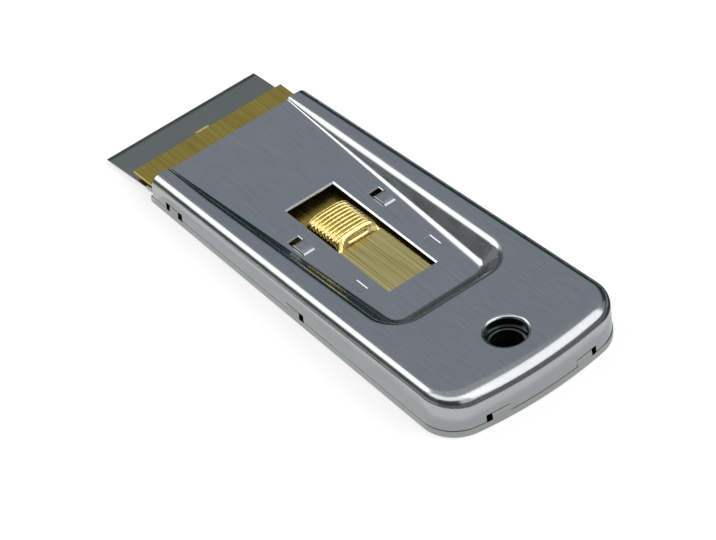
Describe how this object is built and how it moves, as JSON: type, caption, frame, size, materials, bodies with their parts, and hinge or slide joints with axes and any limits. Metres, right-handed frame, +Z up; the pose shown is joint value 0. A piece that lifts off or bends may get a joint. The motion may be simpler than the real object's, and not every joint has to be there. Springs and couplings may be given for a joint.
{
  "type": "razor blade scraper",
  "caption": "Flat pocket scraper: wedge-shaped plated steel case with a hang hole, and a brass slide with a ribbed thumb hump that pushes a single-edge razor blade out of the mouth.",
  "frame": {"origin": "middle of the object's box, on the resting face, with the blade slid out", "axes": "+X along the case towards the blade's edge, +Y to the left seen from behind, +Z up from the flat base"},
  "size_m": [0.1138, 0.0452, 0.0101],
  "materials": {
    "cover_steel": "bright plated, fine grain along the length",
    "base_steel": "bright plated, fine grain along the length",
    "slide_brass": "rolled brass sheet, fine grain along the length",
    "leaf_brass": "rolled brass sheet, polished on the ribs",
    "blade_steel": "oiled carbon steel, ground bevel at the edge",
    "spine_steel": "folded tin-plated strip",
    "rivet_brass": "plain brass"
  },
  "bodies": {
    "case": {"top_shell": "cover_steel", "bottom_shell": "base_steel"},
    "slide": {"blade_carrier": "slide_brass", "lower_jaw": "slide_brass", "jaw_rivets": "rivet_brass", "leaf_rivets": "rivet_brass", "razor_blade": "blade_steel", "blade_spine": "spine_steel"},
    "leaf": {"thumb_leaf": "leaf_brass"}
  },
  "joints": [
    {"name": "blade_slide", "type": "slide", "parent": "case", "child": "slide", "axis": [1, 0, 0], "range_m": [-0.0161, 0]},
    {"name": "leaf_press", "type": "hinge", "parent": "slide", "child": "leaf", "pos_m": [-0.0193, 0, 0.00335], "axis": [0, 1, 0], "range_deg": [0, 2.5], "stiffness_Nm_per_rad": 2}
  ]
}
